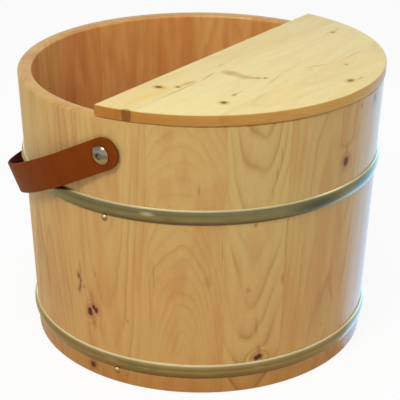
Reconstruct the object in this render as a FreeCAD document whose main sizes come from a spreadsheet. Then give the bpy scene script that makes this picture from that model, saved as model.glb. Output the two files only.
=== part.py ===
import FreeCAD, Part
import math
import os

import Sketcher

# Wooden foot bath: a tub of upright staves held by two steel hoops, with a
# boarded bottom let into a groove, a loose half lid and a leather carry strap.
#
# Frame: the origin is the centre of the tub's foot plane and +Z is up. The two
# handle screws lie on the Y axis seen from above. The lid covers the +X half
# and the strap lies down on the -X side.

# Driving sizes, in millimetres and degrees
SIZES = {
    "tub_height": 306.0,
    "top_diameter": 400.0,
    "side_taper": 11.5,
    "wall_thickness": 15.4,
    "rim_rounding": 3.5,
    "foot_chamfer": 1.5,
    "bottom_height": 20.0,
    "bottom_thickness": 14.0,
    "groove_depth": 5.0,
    "bottom_clearance": 0.3,
    "peg_diameter": 6.0,
    "peg_length": 24.0,
    "peg_clearance": 0.1,
    "peg_end_gap": 0.5,
    "lower_peg_height": 80.0,
    "upper_peg_height": 235.0,
    "board_peg_diameter": 5.0,
    "lid_thickness": 11.8,
    "lid_overhang": 1.0,
    "lid_edge_offset": 15.0,
    "lid_first_width": 43.0,
    "lid_second_width": 72.0,
    "lid_arris": 1.2,
    "lid_turn_angle": -6.4,
    "hoop_height": 16.5,
    "hoop_crown": 3.4,
    "hoop_edge": 0.9,
    "hoop_gap": 0.05,
    "lower_hoop_height": 19.5,
    "hoop_below_handle": 50.0,
    "nail_head_diameter": 7.4,
    "nail_head_height": 2.2,
    "nail_shank_diameter": 2.0,
    "nail_length": 11.0,
    "nail_gap": 0.2,
    "seat_relief": 0.05,
    "running_clearance": 0.1,
    "thread_clearance": 0.05,
    "handle_below_rim": 39.2,
    "screw_diameter": 6.0,
    "screw_head_diameter": 19.5,
    "screw_head_height": 4.6,
    "screw_head_rim": 0.9,
    "screw_point_chamfer": 0.5,
    "screw_end_gap": 0.5,
    "socket_width": 6.0,
    "socket_depth": 2.4,
    "nut_diameter": 17.0,
    "nut_height": 6.5,
    "nut_rim": 1.2,
    "nut_bore_depth": 4.5,
    "washer_diameter": 16.0,
    "washer_thickness": 1.0,
    "strap_width": 34.0,
    "strap_end_length": 3.3,
    "strap_thickness": 3.0,
    "strap_edge_rounding": 1.1,
    "strap_side_gap": 0.2,
    "strap_rest_angle": 27.0,
    "strap_rest_gap": 0.4,
    "strap_lid_gap": 0.45,
    "strap_bend_radius": 150.0,
    "strap_corner_radius": 110.0,
}

# Hand-split staves differ in width: their shares of the turn, from the joint
# at the first azimuth on, anticlockwise seen from above.
STAVE_SHARES = (22.5, 23, 19, 19, 19, 18.5, 18.5, 19.5, 18.5, 21, 20, 21.5, 19, 20.5, 19.5, 21, 20, 20)
FIRST_JOINT_AZIMUTH = -99.1

# The bottom's four boards meet at these shares of its radius.
BOTTOM_JOINT_SHARES = (-0.5, 0.0, 0.5)
# Pegs along a board joint, as shares of the joint's half length
BOARD_PEG_SHARES = (-0.6, 0.0, 0.6)

HANDLE_AZIMUTHS = (-90.0, 90.0)
UPPER_NAIL_AZIMUTHS = (-90.6, 29.4, 149.4)
LOWER_NAIL_AZIMUTHS = (-88.6, 31.4, 151.4)

Z_AXIS = FreeCAD.Vector(0, 0, 1)
SKETCH_UP = FreeCAD.Vector(0, 1, 0)

doc = FreeCAD.newDocument("foot_bath")
dims = doc.addObject("Spreadsheet::Sheet", "dims")
for row, (name, size) in enumerate(SIZES.items(), 1):
    dims.set(f"A{row}", name)
    dims.set(f"B{row}", str(size))
    dims.setAlias(f"B{row}", name)
doc.recompute()

subparts = []


def value(expression):
    """The number that an expression on the sheet's sizes gives."""
    return float(dims.evalExpression(str(expression)))


def outer_radius(level):
    """The wall's outside radius at a level above the foot, as an expression."""
    return f"(dims.top_diameter / 2 - dims.side_taper * (1 - ({level}) / dims.tub_height))"


def inner_radius(level):
    return f"({outer_radius(level)} - dims.wall_thickness)"


# Sketches and features

def new_body(label):
    body = doc.addObject("PartDesign::Body", label)
    body.Label = label
    return body


def place_sketch(body, name, plane, turn="0", shift="0"):
    """A sketch on an origin plane, turned about its own upright, then moved along its normal."""
    sketch = body.newObject("Sketcher::SketchObject", name)
    support = [item for item in body.Origin.OriginFeatures if item.Role == plane][0]
    sketch.AttachmentSupport = [(support, "")]
    sketch.MapMode = "FlatFace"
    sketch.AttachmentOffset = FreeCAD.Placement(
        FreeCAD.Vector(0, 0, value(shift)), FreeCAD.Rotation(SKETCH_UP, value(turn)))
    sketch.setExpression("AttachmentOffset.Base.x", f"({shift}) * sin(({turn}) * 1deg)")
    sketch.setExpression("AttachmentOffset.Base.z", f"({shift}) * cos(({turn}) * 1deg)")
    return sketch


def tie(sketch, element, end, x, y):
    """Holds one end of a sketch element at a place given by two expressions."""
    for kind, axis, place in (("DistanceX", -2, x), ("DistanceY", -1, y)):
        if place == "0":
            sketch.addConstraint(Sketcher.Constraint("PointOnObject", element, end, axis))
            continue
        index = sketch.addConstraint(
            Sketcher.Constraint(kind, -1, 1, element, end, value(place)))
        sketch.renameConstraint(index, f"{kind}_{element}_{end}")
        sketch.setExpression(f"Constraints.{kind}_{element}_{end}", place)


def add_arc(sketch, start, finish, radius, side):
    """An arc of less than half a turn; side is the way it turns from start to finish."""
    across = finish - start
    middle = (start + finish) / 2
    rise = math.sqrt(max(radius ** 2 - across.Length ** 2 / 4, 0.0))
    normal = FreeCAD.Vector(-across.y, across.x, 0).normalize()
    centre = middle + normal * rise * (1 if side == "left" else -1)
    first, last = (start, finish) if side == "left" else (finish, start)
    angles = [math.atan2(point.y - centre.y, point.x - centre.x) for point in (first, last)]
    circle = Part.Circle(centre, Z_AXIS, radius)
    return sketch.addGeometry(Part.ArcOfCircle(circle, angles[0], angles[1]), False)


def outline(sketch, corners, closed=True):
    """Lines and arcs through corners (x, y) or (x, y, radius, side) for an arc to the next."""
    points = [FreeCAD.Vector(value(corner[0]), value(corner[1]), 0) for corner in corners]
    spans = len(corners) if closed else len(corners) - 1
    ends = []
    for index in range(spans):
        start = points[index]
        finish = points[(index + 1) % len(points)]
        if len(corners[index]) == 4:
            radius, side = corners[index][2:]
            element = add_arc(sketch, start, finish, value(radius), side)
            ends.append((element, 1, 2) if side == "left" else (element, 2, 1))
        else:
            element = sketch.addGeometry(Part.LineSegment(start, finish), False)
            ends.append((element, 1, 2))
    for index in range(spans if closed else spans - 1):
        element, _, last = ends[index]
        following, first, _ = ends[(index + 1) % spans]
        sketch.addConstraint(Sketcher.Constraint("Coincident", element, last, following, first))
    for index in range(spans):
        element, first, _ = ends[index]
        tie(sketch, element, first, corners[index][0], corners[index][1])
        if len(corners[index]) == 4:
            radius = corners[index][2]
            number = sketch.addConstraint(Sketcher.Constraint("Radius", element, value(radius)))
            sketch.renameConstraint(number, f"Radius_{element}")
            sketch.setExpression(f"Constraints.Radius_{element}", radius)
    if not closed:
        element, _, last = ends[-1]
        tie(sketch, element, last, corners[-1][0], corners[-1][1])
    return sketch


def circles(sketch, centres, diameter):
    for x, y in centres:
        centre = FreeCAD.Vector(value(x), value(y), 0)
        circle = Part.Circle(centre, Z_AXIS, value(diameter) / 2)
        element = sketch.addGeometry(circle, False)
        tie(sketch, element, 3, x, y)
        number = sketch.addConstraint(Sketcher.Constraint("Diameter", element, value(diameter)))
        sketch.renameConstraint(number, f"Diameter_{element}")
        sketch.setExpression(f"Constraints.Diameter_{element}", diameter)
    return sketch


def revolve(body, sketch, angle="360"):
    feature = body.newObject("PartDesign::Revolution", body.Label + "_turned")
    feature.Profile = sketch
    feature.ReferenceAxis = (sketch, ["V_Axis"])
    feature.Angle = value(angle)
    feature.Midplane = value(angle) < 360
    doc.recompute()
    return feature


def pad(body, sketch, length):
    feature = body.newObject("PartDesign::Pad", body.Label + "_pad")
    feature.Profile = sketch
    feature.setExpression("Length", length)
    doc.recompute()
    return feature


def pocket(body, sketch, depth, backwards=False, both_ways=False):
    """Cuts the sketch out of the body, and makes sure that it did."""
    before = body.Shape.Volume
    feature = body.newObject("PartDesign::Pocket", sketch.Name + "_cut")
    feature.Profile = sketch
    feature.setExpression("Length", depth)
    feature.Reversed = backwards
    feature.Midplane = both_ways
    doc.recompute()
    if not feature.Shape.Volume < before - 0.1:
        raise RuntimeError(f"{feature.Name} removes nothing")
    return feature


def dress(body, kind, size_name, size, chosen):
    """A fillet or chamfer along the edges of the body that a test picks."""
    base = body.Tip
    names = [f"Edge{i}" for i, edge in enumerate(base.Shape.Edges, 1) if chosen(edge)]
    if not names:
        raise RuntimeError(f"{body.Label} has no edge to dress")
    feature = body.newObject(kind, body.Label + "_" + size_name.lower())
    feature.Base = (base, names)
    feature.setExpression(size_name, size)
    doc.recompute()
    return feature


def keep(item, placement=None):
    """Counts an object as one of the sub-parts, at its place."""
    if placement is not None:
        item.Placement = placement
    subparts.append(item)
    return item


def group(label, items):
    compound = doc.addObject("Part::Compound", label)
    compound.Label = label
    compound.Links = items
    doc.recompute()
    return keep(compound)


# The tub's wall

def along(azimuth, radius, level, pointing="outwards"):
    """A placement on the wall whose own Z points outwards, inwards or round the tub."""
    angle = math.radians(azimuth)
    direction = {
        "outwards": FreeCAD.Vector(math.cos(angle), math.sin(angle), 0),
        "inwards": FreeCAD.Vector(-math.cos(angle), -math.sin(angle), 0),
        "round": FreeCAD.Vector(-math.sin(angle), math.cos(angle), 0),
    }[pointing]
    place = FreeCAD.Vector(radius * math.cos(angle), radius * math.sin(angle), level)
    return FreeCAD.Placement(place, FreeCAD.Rotation(Z_AXIS, direction))


HANDLE_LEVEL = "(dims.tub_height - dims.handle_below_rim)"
UPPER_HOOP_LOW = f"({HANDLE_LEVEL} - dims.hoop_below_handle - dims.hoop_height)"
GROOVE_LOW = "dims.bottom_height"
GROOVE_HIGH = "(dims.bottom_height + dims.bottom_thickness + dims.bottom_clearance)"
GROOVE_RADIUS = f"({inner_radius(GROOVE_LOW)} + dims.groove_depth)"
PEG_LEVELS = ("dims.lower_peg_height", "dims.upper_peg_height")
PEG_HOLE = "(dims.peg_diameter + 2 * dims.peg_clearance)"
PEG_HOLE_DEPTH = "(dims.peg_length / 2 + dims.peg_end_gap)"


def nail_level(hoop_height):
    """Each nail head stands right under its hoop's lower edge."""
    return f"({hoop_height} - dims.nail_head_diameter / 2 - dims.nail_gap)"


UPPER_NAIL_LEVEL = nail_level(UPPER_HOOP_LOW)
LOWER_NAIL_LEVEL = nail_level("dims.lower_hoop_height")
NAILS = ([(azimuth, UPPER_NAIL_LEVEL) for azimuth in UPPER_NAIL_AZIMUTHS]
         + [(azimuth, LOWER_NAIL_LEVEL) for azimuth in LOWER_NAIL_AZIMUTHS])


def stave_azimuths():
    """The first joint's azimuth and the width of each stave, in degrees."""
    azimuth = FIRST_JOINT_AZIMUTH
    for share in STAVE_SHARES:
        width = 360 * share / sum(STAVE_SHARES)
        yield azimuth, width
        azimuth += width


def stave_section():
    """Half section of the wall: foot, outside, rim, inside and bottom groove."""
    height = "dims.tub_height"
    rounding = "dims.rim_rounding"
    below_rim = "(dims.tub_height - dims.rim_rounding)"
    chamfer = "dims.foot_chamfer"
    return [
        (f"{outer_radius(0)} - {chamfer}", "0"),
        (outer_radius(chamfer), chamfer),
        (outer_radius(below_rim), below_rim, rounding, "left"),
        (f"{outer_radius(height)} - {rounding}", height),
        (f"{inner_radius(height)} + {rounding}", height, rounding, "left"),
        (inner_radius(below_rim), below_rim),
        (inner_radius(GROOVE_HIGH), GROOVE_HIGH),
        (GROOVE_RADIUS, GROOVE_HIGH),
        (GROOVE_RADIUS, GROOVE_LOW),
        (inner_radius(GROOVE_LOW), GROOVE_LOW),
        (inner_radius(0), "0"),
    ]


def within(azimuth, start, width):
    """The azimuth counted from the stave's middle, or None outside the stave."""
    offset = (azimuth - start) % 360
    return offset - width / 2 if offset < width else None


def make_stave(number, start, width):
    label = f"stave_{number:02d}"
    body = new_body(label)
    section = outline(place_sketch(body, label + "_section", "XZ_Plane"), stave_section())
    revolve(body, section, str(width))
    # Peg holes in both joint faces
    centres = [(f"{inner_radius(level)} + dims.wall_thickness / 2", level) for level in PEG_LEVELS]
    for side, name in ((1, "left"), (-1, "right")):
        sketch = place_sketch(body, f"{label}_{name}_pegs", "XZ_Plane", str(side * width / 2))
        circles(sketch, centres, PEG_HOLE)
        pocket(body, sketch, PEG_HOLE_DEPTH, backwards=side > 0)
    # Pilot holes of the nails that stand in this stave
    for azimuth, level in NAILS:
        turn = within(azimuth, start, width)
        if turn is None:
            continue
        seat = f"{outer_radius(level)} + dims.nail_gap"
        sketch = place_sketch(body, f"{label}_nail_hole", "YZ_Plane", str(turn), seat)
        circles(sketch, [("0", level)], "dims.nail_shank_diameter + 2 * dims.running_clearance")
        pocket(body, sketch, "dims.nail_length + dims.peg_end_gap")
    # Through hole of a handle screw
    for azimuth in HANDLE_AZIMUTHS:
        turn = within(azimuth, start, width)
        if turn is None:
            continue
        sketch = place_sketch(body, f"{label}_screw_hole", "YZ_Plane", str(turn))
        circles(sketch, [("0", HANDLE_LEVEL)], "dims.screw_diameter + 2 * dims.running_clearance")
        pocket(body, sketch, "dims.top_diameter", backwards=True)
    keep(body, FreeCAD.Placement(FreeCAD.Vector(), FreeCAD.Rotation(Z_AXIS, start + width / 2)))


def make_peg(label, diameter, placement):
    """A round peg centred on its placement, along that placement's Z."""
    peg = doc.addObject("Part::Cylinder", label)
    peg.Label = label
    peg.setExpression("Radius", f"{diameter} / 2")
    peg.setExpression("Height", "dims.peg_length")
    back = FreeCAD.Placement(FreeCAD.Vector(0, 0, -value("dims.peg_length") / 2), FreeCAD.Rotation())
    peg.Placement = placement.multiply(back)
    return peg


def make_stave_pegs():
    pegs = []
    for start, _ in stave_azimuths():
        for level in PEG_LEVELS:
            radius = value(f"{inner_radius(level)} + dims.wall_thickness / 2")
            place = along(start, radius, value(level), "round")
            pegs.append(make_peg(f"stave_peg_{len(pegs) + 1:02d}", "dims.peg_diameter", place))
    group("stave_pegs", pegs)


# Boards of the bottom and the lid, cut from a round, side by side along X

def half_chord(radius, edge):
    return f"sqrt(({radius}) ^ 2 - ({edge}) ^ 2)"


def trim_board(body, edge, above):
    """Cuts the round away on one side of a straight edge."""
    side = "high" if above else "low"
    sketch = place_sketch(body, f"{body.Label}_{side}_side", "XY_Plane")
    far = "dims.top_diameter" if above else "-dims.top_diameter"
    corners = [(edge, "-dims.top_diameter"), (far, "-dims.top_diameter"),
               (far, "dims.top_diameter"), (edge, "dims.top_diameter")]
    pocket(body, outline(sketch, corners), "2 * dims.tub_height", backwards=True)


def make_board(label, radius, thickness, edges, number, arris=None):
    """One board of a round: the whole round is made and dressed, then cut down to the board.

    A first edge of None is a full round; otherwise the round is cut off along that edge.
    """
    body = new_body(label)
    sketch = place_sketch(body, label + "_outline", "XY_Plane")
    if edges[0] is None:
        circles(sketch, [("0", "0")], f"2 * {radius}")
    else:
        chord = half_chord(radius, edges[0])
        outline(sketch, [(edges[0], chord), (edges[0], "-" + chord, radius, "left"),
                         (radius, "0", radius, "left")])
    pad(body, sketch, thickness)
    if arris is not None:
        dress(body, "PartDesign::Chamfer", "Size", arris, lambda edge: edge.BoundBox.ZLength < 0.01)
    if number > 0:
        trim_board(body, edges[number], above=False)
    if number < len(edges) - 2:
        trim_board(body, edges[number + 1], above=True)
    return body


def drill_board(body, radius, thickness, joint, backwards):
    """Peg holes from a board joint into one of its two boards."""
    side = "low" if backwards else "high"
    sketch = place_sketch(body, f"{body.Label}_{side}_pegs", "YZ_Plane", shift=joint)
    centres = []
    for share in BOARD_PEG_SHARES:
        y = f"{share} * {half_chord(radius, joint)}" if share else "0"
        centres.append((y, f"{thickness} / 2"))
    circles(sketch, centres, "dims.board_peg_diameter + 2 * dims.peg_clearance")
    pocket(body, sketch, PEG_HOLE_DEPTH, backwards=backwards)


def make_boards(name, radius, thickness, edges, placement, arris=None):
    """Boards edge to edge, with pegs across each joint."""
    for number in range(len(edges) - 1):
        body = make_board(f"{name}_board_{number + 1}", radius, thickness, edges, number, arris)
        if number > 0:
            drill_board(body, radius, thickness, edges[number], True)
        if number < len(edges) - 2:
            drill_board(body, radius, thickness, edges[number + 1], False)
        keep(body, placement)
    pegs = []
    for joint in edges[1:-1]:
        for share in BOARD_PEG_SHARES:
            place = FreeCAD.Vector(value(joint), share * value(half_chord(radius, joint)),
                                   value(thickness) / 2)
            turned = FreeCAD.Placement(place, FreeCAD.Rotation(Z_AXIS, FreeCAD.Vector(1, 0, 0)))
            pegs.append(make_peg(f"{name}_peg_{len(pegs) + 1:02d}", "dims.board_peg_diameter",
                                 placement.multiply(turned)))
    group(f"{name}_pegs", pegs)


def make_bottom():
    radius = f"({GROOVE_RADIUS} - dims.bottom_clearance)"
    joints = [f"({share} * {radius})" if share else "0" for share in BOTTOM_JOINT_SHARES]
    place = FreeCAD.Placement(FreeCAD.Vector(0, 0, value("dims.bottom_height")), FreeCAD.Rotation())
    make_boards("bottom", radius, "dims.bottom_thickness", [None] + joints + [None], place)


def make_lid():
    """The half lid: its straight edge lies a little past the tub's axis."""
    radius = "(dims.top_diameter / 2 + dims.lid_overhang)"
    first = "(dims.lid_edge_offset + dims.lid_first_width)"
    second = f"({first} + dims.lid_second_width)"
    place = FreeCAD.Placement(FreeCAD.Vector(0, 0, value("dims.tub_height")),
                              FreeCAD.Rotation(Z_AXIS, value("dims.lid_turn_angle")))

    make_boards("lid", radius, "dims.lid_thickness",
                ["dims.lid_edge_offset", first, second, None], place, "dims.lid_arris")


# Hoops and their nails

def make_hoop(label, low):
    """A half-oval steel band, tapered inside to fit the wall."""
    body = new_body(label)
    high = f"({low} + dims.hoop_height)"
    rise = "(dims.hoop_crown - dims.hoop_edge)"
    inside_low = f"({outer_radius(low)} + dims.hoop_gap)"
    inside_high = f"({outer_radius(high)} + dims.hoop_gap)"
    crown_radius = f"((dims.hoop_height ^ 2 / 4 + {rise} ^ 2) / (2 * {rise}))"
    section = [
        (inside_low, low),
        (f"{inside_low} + dims.hoop_edge", low, crown_radius, "left"),
        (f"{inside_high} + dims.hoop_edge", high),
        (inside_high, high),
    ]
    revolve(body, outline(place_sketch(body, label + "_section", "XZ_Plane"), section))
    keep(body)


def dome_radius(radius, rise):
    return f"((({radius}) ^ 2 + ({rise}) ^ 2) / (2 * ({rise})))"


def make_nail(label, azimuth, level):
    body = new_body(label)
    head = "dims.nail_head_diameter / 2"
    shank = "dims.nail_shank_diameter / 2"
    section = [
        ("0", "-dims.nail_length"),
        (shank, f"{shank} - dims.nail_length"),
        (shank, "0"),
        (head, "0", dome_radius(head, "dims.nail_head_height"), "left"),
        ("0", "dims.nail_head_height"),
    ]
    revolve(body, outline(place_sketch(body, label + "_section", "XZ_Plane"), section))
    radius = value(f"{outer_radius(level)} + dims.nail_gap")
    body.Placement = along(azimuth, radius, value(level))
    return body


def make_nails(label, azimuths, level):
    group(label, [make_nail(f"{label}_{number}", azimuth, level)
                  for number, azimuth in enumerate(azimuths, 1)])


# The carry strap and its two fixings

# The washers clear the wall at their top edges, where it leans out furthest.
WASHER_SEAT = f"({outer_radius(HANDLE_LEVEL + ' + dims.washer_diameter / 2')} + dims.seat_relief)"
STRAP_INSIDE = f"({WASHER_SEAT} + dims.washer_thickness + dims.strap_side_gap)"
STRAP_LINE = f"({STRAP_INSIDE} + dims.strap_thickness / 2)"
HALF_WIDTH = "dims.strap_width / 2"
END = "dims.strap_end_length"


def strap_corners():
    """The strap's middle line in its own plane: X away from the screws, Y along their axis.

    Each end lies flat at its screw. The legs spread to pass outside the lid, and turn
    into a wide bend that goes round the tub with a small gap at the strap's lower edge.
    """
    leg = "dims.handle_below_rim"
    spread = (f"atan((dims.top_diameter / 2 + dims.lid_overhang + dims.strap_lid_gap"
              f" - {STRAP_INSIDE}) / ({leg} - {HALF_WIDTH}))")
    tangent = f"(dims.strap_bend_radius * tan({spread} / 2))"
    leg_y = f"({STRAP_LINE} + ({leg} - {HALF_WIDTH}) * tan({spread}))"
    corner = "dims.strap_corner_radius"
    corner_x = f"({leg} + {corner} * sin({spread}))"
    corner_y = f"({leg_y} - {corner} * cos({spread}))"
    slope = "(dims.side_taper / dims.tub_height)"
    lean = "(dims.strap_rest_angle * 1deg)"
    wall = outer_radius(f"{HANDLE_LEVEL} - {HALF_WIDTH} * cos({lean})")
    depth = (f"(({wall} + dims.strap_rest_gap + {HALF_WIDTH} * sin({lean}) + dims.strap_thickness / 2)"
             f" / (cos({lean}) + {slope} * sin({lean})))")
    reach = f"({depth} - {corner})"
    middle_x = f"(({reach} ^ 2 - {corner_x} ^ 2 - {corner_y} ^ 2) / (2 * ({reach} - {corner_x})))"
    middle_radius = f"({depth} - {middle_x})"
    bend = f"atan({corner_y} / ({corner_x} - {middle_x}))"
    half = [
        (f"-{HALF_WIDTH} - {END}", STRAP_LINE),
        (f"{HALF_WIDTH} - {tangent}", STRAP_LINE, "dims.strap_bend_radius", "right"),
        (f"{HALF_WIDTH} + {tangent} * cos({spread})", f"{STRAP_LINE} + {tangent} * sin({spread})"),
        (leg, leg_y, corner, "left"),
        (f"{middle_x} + {middle_radius} * cos({bend})", f"{middle_radius} * sin({bend})",
         middle_radius, "left"),
    ]
    near = [(corner[0], f"-({corner[1]})") + corner[2:] for corner in half]
    # On the way back each arc belongs to the corner before it.
    arcs = [corner[2:] for corner in half]
    far = [(half[4][0], half[4][1]) + arcs[3], half[3][:2], (half[2][0], half[2][1]) + arcs[1],
           half[1][:2], half[0][:2]]
    return near + far


def make_strap():
    body = new_body("carry_strap")
    route = outline(place_sketch(body, "strap_route", "XY_Plane"), strap_corners(), closed=False)
    rounding = "dims.strap_edge_rounding"
    half_thickness = "dims.strap_thickness / 2"
    inside = f"(-{STRAP_LINE} + {half_thickness})"
    outside = f"(-{STRAP_LINE} - {half_thickness})"
    section = [
        (f"{outside} + {rounding}", f"-{HALF_WIDTH}"),
        (f"{inside} - {rounding}", f"-{HALF_WIDTH}", rounding, "left"),
        (inside, f"-{HALF_WIDTH} + {rounding}"),
        (inside, f"{HALF_WIDTH} - {rounding}", rounding, "left"),
        (f"{inside} - {rounding}", HALF_WIDTH),
        (f"{outside} + {rounding}", HALF_WIDTH, rounding, "left"),
        (outside, f"{HALF_WIDTH} - {rounding}"),
        (outside, f"-{HALF_WIDTH} + {rounding}", rounding, "left"),
    ]
    profile = outline(place_sketch(body, "strap_section", "YZ_Plane", shift=f"-{HALF_WIDTH} - {END}"), section)
    doc.recompute()
    band = body.newObject("PartDesign::AdditivePipe", "strap_band")
    band.Profile = profile
    band.Spine = (route, [f"Edge{i}" for i in range(1, len(route.Shape.Edges) + 1)])
    doc.recompute()
    # Rounded ends, a little beyond the screws
    far = "dims.strap_width"
    ends = outline(place_sketch(body, "strap_ends", "XZ_Plane"), [
        (f"-{END}", HALF_WIDTH),
        (f"-{END}", far),
        (f"-{far}", far),
        (f"-{far}", f"-{far}"),
        (f"-{END}", f"-{far}"),
        (f"-{END}", f"-{HALF_WIDTH}", HALF_WIDTH, "right"),
        (f"-{HALF_WIDTH} - {END}", "0", HALF_WIDTH, "right"),
    ])
    width = "2 * dims.top_diameter"
    pocket(body, ends, width, both_ways=True)
    holes = circles(place_sketch(body, "strap_holes", "XZ_Plane"), [("0", "0")],
                    "dims.screw_diameter + 2 * dims.running_clearance")
    pocket(body, holes, width, both_ways=True)
    turn = FreeCAD.Rotation(FreeCAD.Vector(0, 1, 0), 180 - value("dims.strap_rest_angle"))
    keep(body, FreeCAD.Placement(FreeCAD.Vector(0, 0, value(HANDLE_LEVEL)), turn))


SCREW_SEAT = f"({STRAP_LINE} + dims.strap_thickness / 2 + dims.strap_side_gap)"
# The nuts clear the hollow inside of the wall all round their faces.
NUT_SEAT = (f"(sqrt({inner_radius(HANDLE_LEVEL + ' - dims.nut_diameter / 2')} ^ 2"
            " - dims.nut_diameter ^ 2 / 4) - dims.seat_relief)")


def make_screw(label, azimuth):
    """A domed screw with a hexagon socket, from the strap's face into the nut."""
    body = new_body(label)
    head = "dims.screw_head_diameter / 2"
    rise = "(dims.screw_head_height - dims.screw_head_rim)"
    shank = "dims.screw_diameter / 2"
    length = f"({SCREW_SEAT} - {NUT_SEAT} + dims.nut_bore_depth - dims.screw_end_gap)"
    section = [
        ("0", f"-{length}"),
        (f"{shank} - dims.screw_point_chamfer", f"-{length}"),
        (shank, f"dims.screw_point_chamfer - {length}"),
        (shank, "0"),
        (head, "0"),
        (head, "dims.screw_head_rim", dome_radius(head, rise), "left"),
        ("0", "dims.screw_head_height"),
    ]
    revolve(body, outline(place_sketch(body, label + "_section", "XZ_Plane"), section))
    socket = place_sketch(body, label + "_socket", "XY_Plane")
    socket.setExpression("AttachmentOffset.Base.z", "dims.screw_head_height")
    corner = "dims.socket_width / sqrt(3)"
    corners = []
    for side in range(6):
        angle = 60 * side + 30
        corners.append((f"{corner} * cos({angle} * 1deg)", f"{corner} * sin({angle} * 1deg)"))
    corners[1] = ("0", corner)
    corners[4] = ("0", f"-{corner}")
    pocket(body, outline(socket, corners), "dims.socket_depth")
    keep(body, along(azimuth, value(SCREW_SEAT), value(HANDLE_LEVEL)))


def make_nut(label, azimuth):
    """A domed cap nut inside the wall, with a blind bore for the screw."""
    body = new_body(label)
    head = "dims.nut_diameter / 2"
    bore = "(dims.screw_diameter / 2 + dims.thread_clearance)"
    rise = "(dims.nut_height - dims.nut_rim)"
    section = [
        (bore, "0"),
        (head, "0"),
        (head, "dims.nut_rim", dome_radius(head, rise), "left"),
        ("0", "dims.nut_height"),
        ("0", "dims.nut_bore_depth"),
        (bore, "dims.nut_bore_depth"),
    ]
    revolve(body, outline(place_sketch(body, label + "_section", "XZ_Plane"), section))
    keep(body, along(azimuth, value(NUT_SEAT), value(HANDLE_LEVEL), "inwards"))


def make_washer(label, azimuth):
    disc = doc.addObject("Part::Cylinder", label + "_disc")
    disc.setExpression("Radius", "dims.washer_diameter / 2")
    disc.setExpression("Height", "dims.washer_thickness")
    hole = doc.addObject("Part::Cylinder", label + "_hole")
    hole.setExpression("Radius", "dims.screw_diameter / 2 + dims.running_clearance")
    hole.setExpression("Height", "dims.washer_thickness")
    washer = doc.addObject("Part::Cut", label)
    washer.Label = label
    washer.Base = disc
    washer.Tool = hole
    keep(washer, along(azimuth, value(WASHER_SEAT), value(HANDLE_LEVEL)))


# The whole foot bath

for number, (start, width) in enumerate(stave_azimuths(), 1):
    make_stave(number, start, width)
make_stave_pegs()
make_bottom()
make_lid()
make_hoop("lower_hoop", "dims.lower_hoop_height")
make_hoop("upper_hoop", UPPER_HOOP_LOW)
make_nails("upper_hoop_nails", UPPER_NAIL_AZIMUTHS, UPPER_NAIL_LEVEL)
make_nails("lower_hoop_nails", LOWER_NAIL_AZIMUTHS, LOWER_NAIL_LEVEL)
make_strap()
for side, azimuth in zip(("near", "far"), HANDLE_AZIMUTHS):
    make_screw(f"{side}_handle_screw", azimuth)
    make_nut(f"{side}_cap_nut", azimuth)
    make_washer(f"{side}_washer", azimuth)
doc.recompute()

# Every object is sound before anything is written.
for item in doc.Objects:
    if "Invalid" in item.State or "Error" in item.State:
        raise RuntimeError(f"{item.Label} failed: {item.State}")
for item in subparts:
    if item.Shape.isNull() or not item.Shape.isValid() or item.Shape.Volume <= 0:
        raise RuntimeError(f"{item.Label} has no sound shape")

os.makedirs("parts", exist_ok=True)
for item in subparts:
    item.Shape.exportStep(f"parts/{item.Label}.step")
print(len(subparts), "sub-parts written")
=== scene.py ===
import math

import bmesh
import bpy
from mathutils import Matrix, Vector


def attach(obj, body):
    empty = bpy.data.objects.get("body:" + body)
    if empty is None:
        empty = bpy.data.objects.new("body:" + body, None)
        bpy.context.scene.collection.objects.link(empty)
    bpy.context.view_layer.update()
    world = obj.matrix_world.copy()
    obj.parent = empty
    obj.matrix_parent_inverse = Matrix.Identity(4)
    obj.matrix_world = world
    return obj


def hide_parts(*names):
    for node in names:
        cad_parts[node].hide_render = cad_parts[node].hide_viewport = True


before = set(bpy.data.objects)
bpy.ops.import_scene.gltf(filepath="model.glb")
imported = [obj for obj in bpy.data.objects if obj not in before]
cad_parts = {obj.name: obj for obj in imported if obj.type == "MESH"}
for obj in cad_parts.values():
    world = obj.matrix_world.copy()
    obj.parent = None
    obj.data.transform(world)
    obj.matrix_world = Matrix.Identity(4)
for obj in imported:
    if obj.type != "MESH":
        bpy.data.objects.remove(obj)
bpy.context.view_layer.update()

# Wooden foot bath: eighteen lacquered staves in two polished steel hoops, a boarded
# bottom, a loose half lid of three boards and a saddle leather carry strap.

MM = 0.001

# Sizes in millimetres, as the solids have them
TUB_HEIGHT = 306.0
RIM_RADIUS = 200.0
SIDE_TAPER = 11.5
WALL = 15.4
RIM_ROUNDING = 3.5
FOOT_CHAMFER = 1.5
BOTTOM_LOW, BOTTOM_THICKNESS, BOTTOM_PLAY, GROOVE_DEPTH = 20.0, 14.0, 0.3, 5.0
LID_THICKNESS, LID_RADIUS, LID_TURN = 11.8, 201.0, -6.4
LID_EDGES = (15.0, 58.0, 130.0, None)
HOOP_HEIGHT, HOOP_CROWN, HOOP_EDGE, HOOP_PLAY = 16.5, 3.4, 0.9, 0.05
HANDLE_LEVEL = 266.8
HOOP_LEVELS = {"lower_hoop": 19.5, "upper_hoop": 200.3}
NAIL_HEAD, NAIL_RISE, NAIL_SHANK, NAIL_LENGTH, NAIL_PLAY = 7.4, 2.2, 2.0, 11.0, 0.2
NAIL_AZIMUTHS = {"upper_hoop": (-90.6, 29.4, 149.4), "lower_hoop": (-88.6, 31.4, 151.4)}

STAVE_SHARES = (22.5, 23, 19, 19, 19, 18.5, 18.5, 19.5, 18.5, 21, 20, 21.5, 19, 20.5, 19.5, 21, 20, 20)
FIRST_JOINT = -99.1


def outside(level):
    """The wall's outside radius at a level, in millimetres."""
    return RIM_RADIUS - SIDE_TAPER * (1 - level / TUB_HEIGHT)


def inside(level):
    return outside(level) - WALL


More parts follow.
